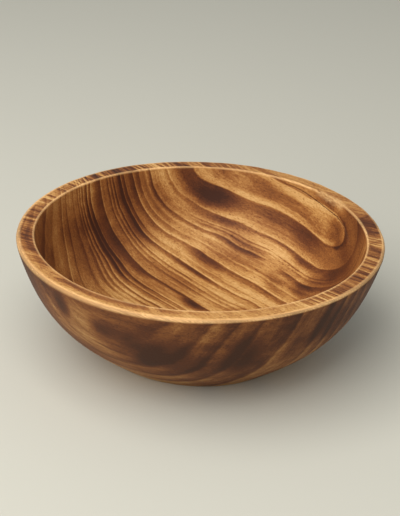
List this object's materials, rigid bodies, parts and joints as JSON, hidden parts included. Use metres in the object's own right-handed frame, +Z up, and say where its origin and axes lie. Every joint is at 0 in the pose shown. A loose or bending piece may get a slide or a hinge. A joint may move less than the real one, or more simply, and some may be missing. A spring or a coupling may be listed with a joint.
{
  "type": "wooden bowl",
  "caption": "Round open serving bowl turned from one block of wood, with curved walls, a broad flat rim and a wide flat base.",
  "frame": {"origin": "centre of the flat underside, at the level of the surface that the bowl stands on", "axes": "+Z up along the turning axis, out of the bowl's mouth. The outline is turned, so X and Y are any two directions at right angles in the plane of the underside"},
  "size_m": [0.2498, 0.2498, 0.0811],
  "materials": {
    "wood": "oiled, satin, tan wood with scorched dark brown grain"
  },
  "bodies": {
    "root": {"bowl": "wood"}
  },
  "joints": []
}
